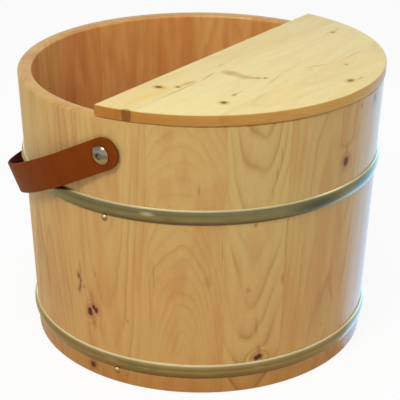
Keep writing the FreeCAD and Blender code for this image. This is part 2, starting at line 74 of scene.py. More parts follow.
def around(azimuth, radius, level):
    """A place in metres, from an azimuth in degrees, a radius and a level in millimetres."""
    angle = math.radians(azimuth)
    return Vector((radius * math.cos(angle), radius * math.sin(angle), level)) * MM


# Working on a mesh

SAME_PLACE = 1e-5   # metres within which two places or radii count as one
SAME_LEVEL = 1e-6   # the same for two levels
DOUBLES = 0.002     # millimetres within which two points are merged


def deselect():
    bpy.ops.object.select_all(action="DESELECT")


def select_only(piece):
    deselect()
    piece.select_set(True)
    bpy.context.view_layer.objects.active = piece


def select_whole():
    bpy.ops.mesh.select_all(action="SELECT")


def name_piece(name):
    piece = bpy.context.object
    piece.name = name
    piece.data.name = name
    return piece


def choose(piece, kind, test):
    """Selects, in edit mode, the vertices, edges or faces that pass a test."""
    bpy.ops.mesh.select_mode(type=kind)
    bpy.ops.mesh.select_all(action="DESELECT")
    shape = bmesh.from_edit_mesh(piece.data)
    shape.normal_update()
    for part in {"VERT": shape.verts, "EDGE": shape.edges, "FACE": shape.faces}[kind]:
        if test(part):
            part.select_set(True)
    shape.select_flush_mode()
    bmesh.update_edit_mesh(piece.data)


def draw(name, points):
    """Draws an outline in edit mode: one vertex, extruded from point to point."""
    deselect()
    bpy.ops.mesh.primitive_plane_add(size=MM, location=(0, 0, 0))
    piece = name_piece(name)
    bpy.ops.object.mode_set(mode="EDIT")
    bpy.ops.mesh.select_mode(type="VERT")
    select_whole()
    bpy.ops.mesh.merge(type="CENTER")
    bpy.ops.transform.translate(value=points[0])
    for start, end in zip(points, points[1:]):
        bpy.ops.mesh.extrude_vertices_move(
            TRANSFORM_OT_translate={"value": tuple(Vector(end) - Vector(start))})
    return piece


def finish_mesh(piece, smooth_angle=35.0):
    """Leaves edit mode with clean doubles, outward faces and smooth shading."""
    select_whole()
    bpy.ops.mesh.remove_doubles(threshold=DOUBLES * MM)
    bpy.ops.mesh.normals_make_consistent(inside=False)
    bpy.ops.object.mode_set(mode="OBJECT")
    select_only(piece)
    bpy.ops.object.shade_smooth_by_angle(angle=math.radians(smooth_angle))
    return piece


def spin_round(piece, steps):
    """Turns a drawn profile right round the upright axis."""
    select_whole()
    bpy.ops.mesh.spin(steps=steps, angle=2 * math.pi, center=(0, 0, 0), axis=(0, 0, 1))
    return finish_mesh(piece, 40.0)


def apply_modifier(piece, kind, **settings):
    modifier = piece.modifiers.new(kind.lower(), kind)
    for key, value in settings.items():
        setattr(modifier, key, value)
    bpy.context.view_layer.objects.active = piece
    bpy.ops.object.modifier_apply(modifier=modifier.name)


def place_piece(piece, location, rotation):
    """Moves a finished piece to its place and keeps the place in its mesh."""
    select_only(piece)
    piece.location = location
    piece.rotation_mode = "QUATERNION"
    piece.rotation_quaternion = rotation
    bpy.ops.object.transform_apply(location=True, rotation=True, scale=True)


def write_attribute(piece, name, values):
    layer = piece.data.attributes.new(name, "FLOAT_VECTOR", "POINT")
    layer.data.foreach_set("vector", [number for vector in values for number in vector])


# Materials. Each of the helpers up to spot() adds one node and returns its output; the values that
# they take are numbers, vectors, hex colours or other nodes' outputs.

WHITE = (1.0, 1.0, 1.0, 1.0)


def linear(code):
    """An sRGB hex colour as the linear colour that the shaders take."""
    parts = [int(code[i:i + 2], 16) / 255 for i in (1, 3, 5)]
    return tuple(c / 12.92 if c <= 0.04045 else ((c + 0.055) / 1.055) ** 2.4 for c in parts) + (1.0,)


def add(tree, kind, settings=None, links=None):
    """One shader node of a kind, with its settings and the values of its inputs."""
    node = tree.nodes.new("ShaderNode" + kind)
    for key, value in (settings or {}).items():
        setattr(node, key, value)
    for key, value in (links or {}).items():
        if isinstance(value, bpy.types.NodeSocket):
            tree.links.new(value, node.inputs[key])
        else:
            node.inputs[key].default_value = linear(value) if isinstance(value, str) else value
    return node


def maths(tree, operation, *values, clamp=False):
    return add(tree, "Math", {"operation": operation, "use_clamp": clamp},
               dict(enumerate(values))).outputs[0]


def chain(tree, operation, values):
    """Values joined by one operation, from the first to the last."""
    result = values[0]
    for value in values[1:]:
        result = maths(tree, operation, result, value)
    return result


def vectors(tree, operation, *values):
    """The result is a number for a length or a dot product, and else a vector."""
    node = add(tree, "VectorMath", {"operation": operation}, dict(enumerate(values)))
    return node.outputs["Value" if operation in ("LENGTH", "DOT_PRODUCT") else "Vector"]


def scaled(tree, vector, factor):
    return add(tree, "VectorMath", {"operation": "SCALE"}, {
        0: vector, "Scale": factor}).outputs[0]


def spread(tree, value, start=(0.0, 1.0), end=(0.0, 1.0), kind="LINEAR"):
    """A value's place in the range start, carried over to the range end and held within it."""
    return add(tree, "MapRange", {"interpolation_type": kind}, {
        "Value": value, "From Min": start[0], "From Max": start[1],
        "To Min": end[0], "To Max": end[1]}).outputs[0]


def noise(tree, place, scale, detail=2.0, roughness=0.5, output="Fac"):
    return add(tree, "TexNoise", None, {
        "Vector": place, "Scale": scale, "Detail": detail, "Roughness": roughness}).outputs[output]


def stretched(tree, place, scale):
    return add(tree, "Mapping", None, {"Vector": place, "Scale": scale}).outputs[0]


def blend(tree, factor, first, second, kind="MIX"):
    return add(tree, "Mix", {"data_type": "RGBA", "blend_type": kind}, {
        "Factor": factor, 6: first, 7: second}).outputs[2]


def ramp(tree, factor, stops):
    """A colour between stops, each with its place and a hex colour or a grey level."""
    node = add(tree, "ValToRGB", None, {"Fac": factor})
    marks = node.color_ramp.elements
    while len(marks) < len(stops):
        marks.new(0.5)
    for mark, (place, colour) in zip(marks, stops):
        mark.position = place
        mark.color = linear(colour) if isinstance(colour, str) else (colour,) * 3 + (1.0,)
    return node.outputs[0]


def bumps(tree, height, strength, distance):
    return add(tree, "Bump", None, {
        "Strength": strength, "Distance": distance, "Height": height}).outputs[0]


def attribute(tree, name):
    return add(tree, "Attribute", {"attribute_name": name}).outputs["Vector"]


def parts_of(tree, vector):
    """The outputs X, Y and Z of a vector."""
    return add(tree, "SeparateXYZ", None, {0: vector}).outputs


def spot(tree, place, centre, size, turn=0.0, hardness=0.0, depth=1.0):
    """A depth at a centre in the wood, falling to 0 over an ellipsoid of half sizes in millimetres.

    The hardness is the share of the half sizes over which the depth stays full."""
    mapped = add(tree, "Mapping", {"vector_type": "TEXTURE"}, {
        "Vector": place, "Location": [value * MM for value in centre],
        "Rotation": (0, 0, math.radians(turn)), "Scale": [value * MM for value in size]}).outputs[0]
    return spread(tree, vectors(tree, "LENGTH", mapped), (hardness, 1.0), (depth, 0.0),
                  "SMOOTHERSTEP")


def new_material(name):
    material = bpy.data.materials.new(name)
    material.use_nodes = True
    material.node_tree.nodes.clear()
    return material, material.node_tree


def finish_material(tree, kind, links):
    surface = add(tree, kind, None, links)
    add(tree, "OutputMaterial", None, {"Surface": surface.outputs[0]})


def dress_piece(piece, material):
    piece.data.materials.clear()
    piece.data.materials.append(material)


# Lacquered softwood. The 'log' attribute holds each point's place in its own tree, with Z
# along the grain, so the growth rings cut the faces in the arches of flat-sawn boards.
# The 'look' attribute holds the board's tone, its ring width and how strong its figure is.

# A knot's heart, its halo and the reach of its push on the rings, as shares of its own half sizes
HEART_SIZE, HALO_SIZE, PUSH_SIZE = 1.2, 3.0, 5.0
HEART_HARDNESS, HALO_DEPTH = 0.4, 0.55
KNOT_PUSH = 0.006     # metres that a knot pushes the rings away from the pith
GRAIN_WAVES = 0.016   # metres that the grain's waves move the rings
# How dark a year is, from its start to its end
YEAR = [(0.0, 0.35), (0.14, 0.0), (0.45, 0.1), (0.74, 0.4), (0.9, 1.0), (1.0, 0.35)]
FIGURE_INSIDE = 0.3   # share of the figure that shows inside the tub


def knot_marks(tree, place, knots):
    """Where the knots' hearts and halos are, and where they push the rings."""
    hearts, halos, pushes = [], [], []
    for centre, size, depth in knots:
        for marks, share, hardness, full in ((hearts, HEART_SIZE, HEART_HARDNESS, depth),
                                             (halos, HALO_SIZE, 0.0, depth),
                                             (pushes, PUSH_SIZE, 0.0, 1.0)):
            marks.append(spot(tree, place, centre, [share * s for s in size], 0.0, hardness, full))
    return chain(tree, "MAXIMUM", hearts), chain(tree, "MAXIMUM", halos), chain(tree, "ADD", pushes)


def growth_rings(tree, waved, slow, push, tone, ring_width):
    """How dark the rings are: each year has a strength of its own."""
    from_pith = vectors(tree, "LENGTH", vectors(tree, "MULTIPLY", waved, (1.0, 1.0, 0.0)))
    rings = maths(tree, "DIVIDE", maths(tree, "MULTIPLY_ADD", push, KNOT_PUSH, from_pith), ring_width)
    year = add(tree, "CombineXYZ", None, {0: maths(tree, "FLOOR", rings), 1: tone}).outputs[0]
    season = add(tree, "TexWhiteNoise", {"noise_dimensions": "2D"}, {"Vector": year})
    # The figure comes and goes along a board, over 60 mm or so.
    patch = spread(tree, noise(tree, slow, 33.0, 1.0), (0.36, 0.62), (0.18, 1.0), "SMOOTHSTEP")
    return chain(tree, "MULTIPLY", [
        ramp(tree, maths(tree, "FRACT", rings), YEAR),
        spread(tree, season.outputs["Value"], end=(0.3, 1.0)), patch])


def softwood(name, colours, grain_axis, knots, clouds, lines, coat, end_grain, shades=()):
    """Wood from its colours, the way of its grain, its marks, its lacquer and its tinted places, some of
    which are painted shade.
    """
    material, tree = new_material(name)
    pale, warm, late, pink, knot_heart, knot_halo, stain = colours
    log = attribute(tree, "log")
    tone, ring_width, figure = parts_of(tree, attribute(tree, "look"))
    coords = add(tree, "TexCoord").outputs
    place, normal = coords["Object"], coords["Normal"]
    heart, halo, push = knot_marks(tree, place, knots)

    # Slow waves of the grain, some 50 mm across and four times as long
    slow = stretched(tree, log, (1.0, 1.0, 0.26))
    wave = vectors(tree, "SUBTRACT", noise(tree, slow, 20.0, output="Color"), (0.5, 0.5, 0.5))
    waved = vectors(tree, "MULTIPLY_ADD", wave, (GRAIN_WAVES, GRAIN_WAVES, 0.0), log)
    # How far a face looks away from the axis, in metres: below 0 inside the tub, where figure is faint
    away = vectors(tree, "DOT_PRODUCT", vectors(tree, "MULTIPLY", normal, (1.0, 1.0, 0.0)), place)
    plain = spread(tree, away, (-0.08, -0.02), (FIGURE_INSIDE, 1.0))
    ring = chain(tree, "MULTIPLY", [
        growth_rings(tree, waved, slow, push, tone, ring_width), plain, figure])

    # Fibres about 1 mm wide, and bands of pinker wood about 20 mm wide, fewer on a yellow board
    fibres = noise(tree, stretched(tree, log, (1.0, 1.0, 0.018)), 900.0, 3.0, 0.55)
    wandering = stretched(tree, waved, (1.0, 1.0, 0.1))
    band = spread(tree, noise(tree, wandering, 52.0), (0.42, 0.66), kind="SMOOTHSTEP")
    pinkness = maths(tree, "MULTIPLY_ADD", tone, 0.7, 0.2, clamp=True)
    colour = blend(tree, maths(tree, "MULTIPLY", band, pinkness), blend(tree, tone, pale, warm), pink)
    # Inside the tub darker and lighter bands, some 15 mm wide, take the figure's place.
    broad = spread(tree, noise(tree, wandering, 85.0, 1.0), (0.38, 0.64), (0.0, 0.2), "SMOOTHSTEP")
    hidden = spread(tree, plain, (FIGURE_INSIDE, 1.0), (1.0, 0.0))
    colour = blend(tree, maths(tree, "MULTIPLY", broad, hidden), colour, late)
    colour = blend(tree, ring, colour, late)
    for marks, tint in ((clouds, stain), (lines, knot_halo)):
        for centre, size, turn, depth, hardness in marks:
            colour = blend(tree, spot(tree, place, centre, size, turn, hardness, depth), colour, tint)
    colour = blend(tree, maths(tree, "MULTIPLY", halo, HALO_DEPTH), colour, knot_halo)
    colour = blend(tree, heart, colour, knot_heart)
    # End grain drinks the lacquer and stands darker.
    across = maths(tree, "ABSOLUTE", vectors(tree, "DOT_PRODUCT", normal, grain_axis))
    colour = blend(tree, maths(tree, "POWER", across, 2.0), colour, end_grain, "MULTIPLY")
    # Tinted places: what is measured, where the tint starts and where it is full. Inside the tub the tint
    # is painted shade and painted redder light that stays in the tub; at the foot it is painted shade
    # near the floor.
    level, upright = parts_of(tree, place)["Z"], parts_of(tree, normal)["Z"]
    measures = {"inside": (away, -0.135, -0.165), "outside": (away, -0.175, -0.06),
                "low": (level, 0.2, 0.12), "foot": (level, 0.024, 0.015), "side": (upright, 0.75, 0.25)}
    for measure, shade in shades:
        source, none, full = measures[measure]
        colour = blend(tree, spread(tree, source, (none, full)), colour, shade, "MULTIPLY")
    weight, coat_roughness, roughness = coat
    finish_material(tree, "BsdfPrincipled", {
        "Base Color": scaled(tree, colour, spread(tree, fibres, (0.25, 0.75), (0.95, 1.05))),
        "Roughness": roughness, "IOR": 1.5, "Specular IOR Level": 0.1,
        "Coat Weight": weight, "Coat Roughness": coat_roughness, "Coat IOR": 1.5,
        "Normal": bumps(tree, fibres, 0.25, 0.00015)})
    return material


# Knots seen on the wall: azimuth, level, half width and half height in millimetres, depth
WALL_KNOTS = (
    (-98.2, 79.4, 3.2, 4.6, 1), (-98.1, 76.6, 3.5, 3.8, 1), (-96.5, 85, 2.2, 3.6, 1),
    (-95.6, 82.2, 2.5, 3.8, 1), (-98.1, 12, 3.8, 4.2, 0.95), (-102.2, 116.8, 2.3, 3.8, 0.62),
    (-101.5, 112.4, 1.8, 4, 0.54), (-101.8, 105.4, 1.8, 4, 0.54), (-102.3, 100.4, 2.1, 3.4, 0.5),
    (-42.5, 39.2, 3.6, 3.2, 1), (-41.6, 40.6, 3.6, 3.4, 1), (-12.3, 243, 4.6, 6, 0.9),
    (3.9, 296, 4.4, 5.4, 0.6), (131.4, 171, 4.2, 5.4, 0.95), (-147.6, 64, 3.2, 4, 0.9),
    (69.4, 118, 3.4, 4.6, 0.9))
# Stains on the wall: azimuth, level, half width and half height in millimetres, depth
WALL_STAINS = (
    (-97, 94, 5, 16, 0.4), (-96.6, 66, 5, 14, 0.42), (-100.2, 106.4, 3, 5, 0.5),
    (-101.4, 127, 3.4, 13, 0.36), (-95.3, 126, 2.4, 6, 0.3), (-83.9, 80, 1.8, 4.4, 0.5),
    (-99, 37.3, 1.6, 2, 0.55), (-41.8, 49, 4.6, 10, 0.45), (-43, 78, 2.6, 17, 0.34),
    (-35, 130, 3.4, 12, 0.36), (-46.1, 123, 5, 6, 0.34), (-44.6, 197, 3.4, 4.4, 0.55),
    (-58.6, 136, 9, 13, 0.18), (-12.3, 257, 3.6, 12, 0.4), (-6.1, 298, 5, 7, 0.55),
    (-26.6, 279.5, 1.2, 2, 0.4), (-24.5, 232, 1.2, 2, 0.4), (-107.1, 222, 5, 14, 0.25))
# Dark lines on the wall, in the same measures
WALL_LINES = (
    (-75, 137, 0.9, 32, 0.4), (-80.2, 128, 1, 16, 0.3), (-61.4, 239, 1.2, 10, 0.4),
    (-59.5, 214, 1.2, 9, 0.4), (-54.4, 170, 0.9, 34, 0.34), (-17.6, 56, 1, 7, 0.45),
    (-38.6, 250, 1, 14, 0.4), (-37.4, 270, 1, 14, 0.4), (-39.6, 228, 0.9, 12, 0.42))


def on_wall(azimuth, level):
    return around(azimuth, outside(level), level) / MM


MARK_REACH = 7.0    # millimetres that a stain or a line goes into the wall
wall_knots = [(on_wall(azimuth, level), (wide, wide, high), depth)
              for azimuth, level, wide, high, depth in WALL_KNOTS]
wall_stains, wall_lines = ([(on_wall(azimuth, level), (MARK_REACH, wide, high), azimuth, depth, 0.0)
                            for azimuth, level, wide, high, depth in marks]
                           for marks in (WALL_STAINS, WALL_LINES))

LID_PLANE = Matrix.Rotation(math.radians(LID_TURN), 3, "Z")


def on_lid(x, y):
    """A place on the lid's top, in millimetres, from its own axes."""
    return LID_PLANE @ Vector((x, y, TUB_HEIGHT + LID_THICKNESS))


# Knots seen on the lid, in its own axes
lid_knots = [(on_lid(x, y), (half_x, half_y, 6), depth) for x, y, half_x, half_y, depth in (
    (34.7, -122.7, 4, 3.2, 0.95), (50.1, -111.1, 2.2, 2.2, 0.85), (113.4, -121.7, 3.4, 3.2, 0.9),
    (105.5, -34.7, 1.8, 2, 0.65), (100.3, -38.6, 1.3, 1.3, 0.4), (179.8, 10.8, 3.2, 4.4, 0.74),
    (79.1, 149.5, 2.4, 3.4, 0.5), (150.5, 54.1, 1.5, 2.2, 0.45), (109.1, -97.2, 1.5, 2.8, 0.5))]
# Golden clouds on the lid: place, half sizes across and along the grain, turn, depth
lid_clouds = [(on_lid(x, y), (half_x, half_y, 20), LID_TURN + turn, depth, 0.15)
              for x, y, half_x, half_y, turn, depth in (
    (42, -146, 9.5, 54, -6.8, 0.46), (51.5, -97, 7, 22, -8, 0.5), (41, -121, 12, 6, 0, 0.5),
    (66, -42.5, 15, 9, 0, 0.6), (84, -49, 14, 8, 0, 0.4), (113.4, -121.7, 7, 7, 0, 0.6),
    (128.5, 15.8, 7, 9, -20, 0.46), (137, 56, 5, 34, -8, 0.26), (179.8, 10.8, 7, 9, 0, 0.5),
    (79, 150, 7, 11, 0, 0.5), (40, 78, 14, 34, 0, 0.2), (150, -60, 8, 50, 6, 0.22))]
# Dark lines on the lid, in the same measures, and the brown end of the first board
lid_lines = [(on_lid(x, y), (half_x, half_y, 30), LID_TURN + turn, depth, hardness)
             for x, y, half_x, half_y, turn, depth, hardness in (
    (57.2, -118, 1.2, 50, 0, 0.5, 0.2), (55.4, -66, 1.3, 22, 8, 0.5, 0.2),
    (69, -43, 18, 12, 0, 0.36, 0.1), (87, -44, 15, 9, 0, 0.36, 0.1), (98, -40.4, 9, 5, 36, 0.4, 0.1),
    (51.5, -97, 6, 18, -8, 0.26, 0.1), (108.6, -92, 1.1, 17, -5, 0.45, 0.1),
    (115, -32, 1.5, 30, 9, 0.34, 0), (44.5, -27, 1.8, 10, 0, 0.28, 0), (127, 30, 2, 24, -28, 0.36, 0),
    (139, 88, 1.6, 40, 0, 0.34, 0), (184, 24, 2, 11, 0, 0.5, 0), (76.4, 141, 1.8, 11, -10, 0.45, 0),
    (76.4, 162, 1.8, 12, 8, 0.4, 0), (51, -200, 7.6, 9, 0, 0.62, 0.82), (42, -203, 9, 9, 0, 0.3, 0.4))]

# Clear gloss lacquer on fragrant cedar: honey yellow, with pinker boards between
stave_wood = softwood(
    "lacquered cedar staves",
    ("#F0CE84", "#E4AE66", "#B0661C", "#E2A262", "#5A1600", "#94460E", "#9C561A"),
    (0, 0, 1), wall_knots, wall_stains, wall_lines, (0.45, 0.17, 0.5), "#FFF4CC",
    # The tints: a grey over the outside faces, a little warmer and darker below 0.2 m, painted shade at
    # the foot and, inside the tub, painted shade and painted redder light.
    [("outside", "#D8D7D0"), ("low", "#FFF4EC"), ("foot", "#ECD6B6"), ("inside", "#F8E0CE")])
# The same wood, paler and satin, on the lid
lid_wood = softwood(
    "satin lacquered cedar lid",
    ("#E9D99C", "#E0C684", "#B08238", "#E0C480", "#6A3E04", "#80560E", "#E8C258"),
    LID_PLANE @ Vector((0, 1, 0)), lid_knots, lid_clouds, lid_lines, (0.18, 0.28, 0.5), "#DCC094",
    [("side", "#E2BF90")])
# The bottom has the staves' lacquer, a little redder from the light that stays in the tub.
bottom_wood = softwood(
    "lacquered cedar bottom",
    ("#C7A055", "#BE8B48", "#8C531E", "#BC8248", "#180A04", "#9A4A1A", "#8E4F1C"),
    (0, 1, 0), [((-60.0, 40.0, 34.0), (3.6, 5.0, 4.0), 0.9)], [], [], (0.5, 0.2, 0.5), "#E0C090")


STREAK_SHARE = 0.22    # how fine the wheel's streaks are, against its lines
PATCH_REACH = 24.0       # millimetres that a patch reaches through the hoop, to either side
HOOP_FACE = 3.0        # millimetres from the wall to the hoop's crown, about


def polished_steel(name, colours, roughness, brushing, scale, patches=()):
    """Steel with rub marks of a wheel: fine lines that follow the piece.

    The colours run from its lower flank, over its crown, to its upper flank: painted reflection and
    painted shade, by the way each face looks up or down. A patch is a place with a colour of its own,
    lighter or darker."""
    material, tree = new_material(name)
    coords = add(tree, "TexCoord").outputs
    place = coords["Object"]
    lines = noise(tree, stretched(tree, place, scale), 1.0)
    # Streaks of the wheel about 2 mm wide, and stains about 25 mm wide
    streaks = noise(tree, stretched(tree, place, [value * STREAK_SHARE for value in scale]), 1.0, 3.0)
    shade = maths(tree, "MULTIPLY", spread(tree, noise(tree, place, 38.0, 3.0), (0.3, 0.7), (0.93, 1.05)),
                  spread(tree, streaks, (0.3, 0.7), (0.86, 1.14)))
    # Painted reflection and painted shade: the colour follows how far a face looks up or down.
    rise = spread(tree, parts_of(tree, coords["Normal"])["Z"], (-1.0, 1.0))
    colour = scaled(tree, ramp(tree, rise, colours), shade)
    # Patches with colours of their own, among them a painted highlight and painted shade on the upper
    # band.
    for centre, size, turn, tint, depth in patches:
        colour = blend(tree, spot(tree, place, centre, size, turn, 0.0, depth), colour, tint)
    finish_material(tree, "BsdfPrincipled", {
        "Base Color": colour, "Metallic": 1.0,
        "Roughness": spread(tree, lines, end=(roughness - brushing, roughness + brushing)),
        "Normal": bumps(tree, lines, 0.2, 0.00003)})
    return material


def hoop_patches(marks):
    """Places on a hoop: azimuth, level, half length and half height in millimetres, colour, depth."""
    return [(around(azimuth, outside(level) + HOOP_FACE, level) / MM,
             (PATCH_REACH, long, high), azimuth, colour, depth)
            for azimuth, level, long, high, colour, depth in marks]


# On the upper band the first patch is a painted highlight of the key light, and the two broad dark ones
# at its right end are painted shade that dims the band's reflection there. The rest, on both bands, are
# lighter and darker patches.
upper_painted_light_and_patches = hoop_patches((
    (-76.4, 210.5, 12, 3.4, "#D8D0B4", 0.55), (-70, 206, 9, 5, "#665E48", 0.4),
    (-84, 207, 12, 3, "#8E8A72", 0.6), (-64, 206.5, 16, 2.5, "#93886A", 0.6),
    (-52, 205.5, 14, 3, "#6B6650", 0.5), (-24, 208, 60, 11, "#484E40", 0.9),
    (1, 208, 62, 11, "#403F3A", 0.85)))
lower_hoop_patches = hoop_patches((
    (-82, 27.5, 11, 7, "#6E7458", 0.7), (-75, 29, 8, 6, "#78704C", 0.6),
    (-90, 30, 14, 3, "#A89870", 0.5), (-58, 26, 18, 3, "#98825A", 0.5),
    (-42, 29, 12, 3, "#A08C62", 0.5)))

# Stainless band, rolled half oval: the wheel's lines, drawn 0.5 mm apart, run round it. Its colours are a
# painted reflection of the wood below and the sky above: straw brown below, olive on its crown and bright
# on its upper edge.
hoop_steel = {hoop: polished_steel(name, colours, 0.24, 0.06, (14, 14, 2000), patches)
              for hoop, name, patches, colours in (
    ("upper_hoop", "polished stainless upper band", upper_painted_light_and_patches, [
        (0.205, "#60401F"), (0.27, "#67553B"), (0.345, "#7D7252"), (0.48, "#847C5D"), (0.6, "#797252"),
        (0.68, "#756E4A"), (0.735, "#C2B68C"), (0.76, "#F0E4BC")]),
    ("lower_hoop", "polished stainless lower band", lower_hoop_patches, [
        (0.205, "#704921"), (0.25, "#744F25"), (0.36, "#806A40"), (0.48, "#937E56"), (0.57, "#8A764B"),
        (0.68, "#928258"), (0.735, "#D3C297"), (0.76, "#F6EAC2")]))}
# Plated tacks, with a painted reflection of the wood: straw brown, darker on their lower side
nail_steel = polished_steel(
    "straw-tinted plated tack", [(0.2, "#7A5E34"), (0.7, "#B79C6C")], 0.24, 0.04, (500, 500, 500))
# Bright chrome on the screws and nuts, with a painted reflection: brown below, from the leather and wood,
# and greys above
chrome = polished_steel(
    "bright chrome plate", [(0.22, "#8A6C4E"), (0.38, "#A08C6C"), (0.5, "#716A62"), (0.62, "#8C867C"),
                            (0.8, "#6C6458")], 0.2, 0.04, (300, 300, 300))
# Down in a screw's socket the steel is brown and dull.
socket_plate = polished_steel("dull plated socket", [(0.2, "#82705A"), (0.8, "#968672")], 0.6, 0.05,
                              (300, 300, 300))
# Zinc plate on the washers, dull grey
zinc_plate = polished_steel(
    "zinc-plated washer steel", [(0.1, "#8A8B8A"), (0.9, "#A7A8A6")], 0.38, 0.06, (700, 700, 700))


def bamboo_dowel():
    """Bare, pale bamboo with a fine speckle."""
    material, tree = new_material("turned bamboo dowel")
    place = add(tree, "TexCoord").outputs["Object"]
    finish_material(tree, "BsdfPrincipled", {
        "Base Color": ramp(tree, noise(tree, place, 900.0), [(0.35, "#C9AE72"), (0.65, "#E2CF9A")]),
        "Roughness": 0.6})
    return material


bamboo = bamboo_dowel()


# Saddle leather: vegetable tanned, glazed on the grain side, with burnished edges.
# The 'hide' attribute holds each point's place along, across and through the strap.
BURNISH_START, BURNISH_FULL, BURNISH_DEPTH = 3.6, 1.4, 0.85   # millimetres from the edge, and share


def saddle_leather(half_width, half_thickness):
    material, tree = new_material("glazed saddle leather")
    hide = attribute(tree, "hide")
    parts = parts_of(tree, hide)
    # Pores about 0.9 mm apart, and clouds of dye about 15 mm across
    pores = add(tree, "TexVoronoi", {"feature": "DISTANCE_TO_EDGE"}, {
        "Vector": hide, "Scale": 1100.0}).outputs["Distance"]
    face = ramp(tree, noise(tree, hide, 65.0, 3.0), [
        (0.3, "#C96718"), (0.52, "#D8721F"), (0.75, "#E27E2D")])
    # 0 on the flesh side, which lies to the wall, and 1 on the grain side. The flesh side's dark brown is
    # painted shade.
    inner = 0.6 * half_thickness
    grain_side = spread(tree, parts["Z"], (-inner, inner), kind="SMOOTHSTEP")
    burnish = spread(tree, maths(tree, "ABSOLUTE", parts["Y"]),
                     (half_width - BURNISH_START * MM, half_width - BURNISH_FULL * MM), kind="SMOOTHSTEP")
    # Burnished edges darker; the flesh side's dark brown is painted shade.
    finish_material(tree, "BsdfPrincipled", {
        "Base Color": blend(tree, maths(tree, "MULTIPLY", burnish, BURNISH_DEPTH),
                            blend(tree, grain_side, "#42200E", face), "#561F03"),
        "Roughness": spread(tree, grain_side, end=(0.75, 0.46)), "IOR": 1.48, "Specular IOR Level": 0.03,
        "Normal": bumps(tree, spread(tree, pores, (0.0, 0.22)), 0.35, 0.00012)})
    return material


# The wall's staves

GROOVE_HIGH = BOTTOM_LOW + BOTTOM_THICKNESS + BOTTOM_PLAY
GROOVE_RADIUS = inside(BOTTOM_LOW) + GROOVE_DEPTH

# How each stave was sawn: sideways and inward distance of the tree's heart in millimetres, its
# lean along the stave, ring width in millimetres, figure strength and tone (0 yellow, 1 orange).
STAVE_CUTS = (
    (-11.4, 26, -0.11, 6.4, 0.45, 0.42), (-6, 37, 0.25, 4.4, 0.28, 0.42),
    (-1.3, 46, -0.15, 6.4, 0.76, 0.12), (26, 60, 0.06, 5.4, 0.4, 0.38), (-20, 30, -0.08, 6, 0.46, 0.4),
    (8, 34, 0.12, 6.6, 0.6, 0.4), (-6, 28, -0.14, 7.4, 0.75, 0.6), (30, 40, 0.05, 5.2, 0.5, 0.3),
    (5, 24, 0.14, 7, 0.65, 0.5), (-14, 60, -0.05, 5.6, 0.5, 0.75), (0, 28, 0.15, 7.8, 0.75, 0.35),
    (22, 34, 0.06, 6, 0.55, 0.6), (-8, 30, -0.13, 7, 0.65, 0.45), (10, 26, 0.12, 7.2, 0.75, 0.7),
    (-26, 44, 0.05, 5.4, 0.5, 0.3), (4, 30, -0.12, 6.8, 0.65, 0.55), (16, 50, 0.05, 5.6, 0.5, 0.45),
    (-30, 40, 0.05, 5.8, 0.5, 0.45))


MIDDLE_LEVEL = 150.0    # a stave leans from its tree's heart about this level
LOG_SPACING = 977.0     # boards of another tone come from another stretch of the log
STAVE_ARRIS, BOARD_ARRIS, LID_ARRIS = 0.12, 0.15, 1.2
ROUND_STEPS = 288


def stave_profile():
    """The wall's section as radii and levels in millimetres, from the foot's outer edge."""
    return [
        (outside(0) - FOOT_CHAMFER, 0.0), (outside(FOOT_CHAMFER), FOOT_CHAMFER),
        (outside(TUB_HEIGHT), TUB_HEIGHT), (inside(TUB_HEIGHT), TUB_HEIGHT),
        (inside(GROOVE_HIGH), GROOVE_HIGH), (GROOVE_RADIUS, GROOVE_HIGH),
        (GROOVE_RADIUS, BOTTOM_LOW), (inside(BOTTOM_LOW), BOTTOM_LOW), (inside(0), 0.0),
    ]


def azimuth_of(point):
    return math.degrees(math.atan2(point.y, point.x))


def turn_from(azimuth, start):
    """Degrees from a start to an azimuth, between -180 and 180."""
    return (azimuth - start + 180) % 360 - 180


def saw_from_log(piece, cut, measure, middle):
    """Writes each point's place in its tree, from its place across, below the face and along."""
    sideways, inward, lean, ring_width, figure, tone = cut
    places = []
    for vertex in piece.data.vertices:
        side, depth, along = measure(vertex.co)
        places.append(((side - sideways) * MM, (inward - depth + lean * (along - middle)) * MM,
                       (along + LOG_SPACING * tone) * MM))
    write_attribute(piece, "log", places)
    write_attribute(piece, "look", [(tone, ring_width * MM, figure)] * len(places))


def make_stave(name, start, width, cut):
    """The wall's section, drawn at one joint and spun to the next, with its rim and edges eased."""
    piece = draw("cedar_" + name, [around(start, radius, level) for radius, level in stave_profile()])
    select_whole()
    bpy.ops.mesh.edge_face_add()
    steps = max(6, round(width / 2))
    select_whole()
    bpy.ops.mesh.spin(steps=steps, angle=math.radians(width), center=(0, 0, 0), axis=(0, 0, -1))
    select_whole()
    bpy.ops.mesh.normals_make_consistent(inside=False)
    if bmesh.from_edit_mesh(piece.data).calc_volume(signed=True) < 0:
        bpy.ops.mesh.flip_normals()

    def on_rim(edge):
        first, second = (v.co for v in edge.verts)
        return (all(abs(end.z - TUB_HEIGHT * MM) < SAME_LEVEL for end in (first, second))
                and abs(first.xy.length - second.xy.length) < SAME_PLACE)
    choose(piece, "EDGE", on_rim)
    bpy.ops.mesh.bevel(offset=RIM_ROUNDING * MM, segments=5, profile=0.5)

    near = 0.1 * width / steps

    def on_joint(edge):
        turns = [turn_from(azimuth_of(v.co), start) for v in edge.verts]
        return all(abs(t) < near for t in turns) or all(abs(t - width) < near for t in turns)
    choose(piece, "EDGE", on_joint)
    bpy.ops.mesh.bevel(offset=STAVE_ARRIS * MM, segments=1)
    finish_mesh(piece)

    def place_in_stave(point):
        level, radius = point.z / MM, point.xy.length / MM
        turn = turn_from(azimuth_of(point), start + width / 2)
        return math.radians(turn) * radius, outside(level) - radius, level
    saw_from_log(piece, cut, place_in_stave, MIDDLE_LEVEL)
    dress_piece(piece, stave_wood)
    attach(piece, "root")
    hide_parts(name)


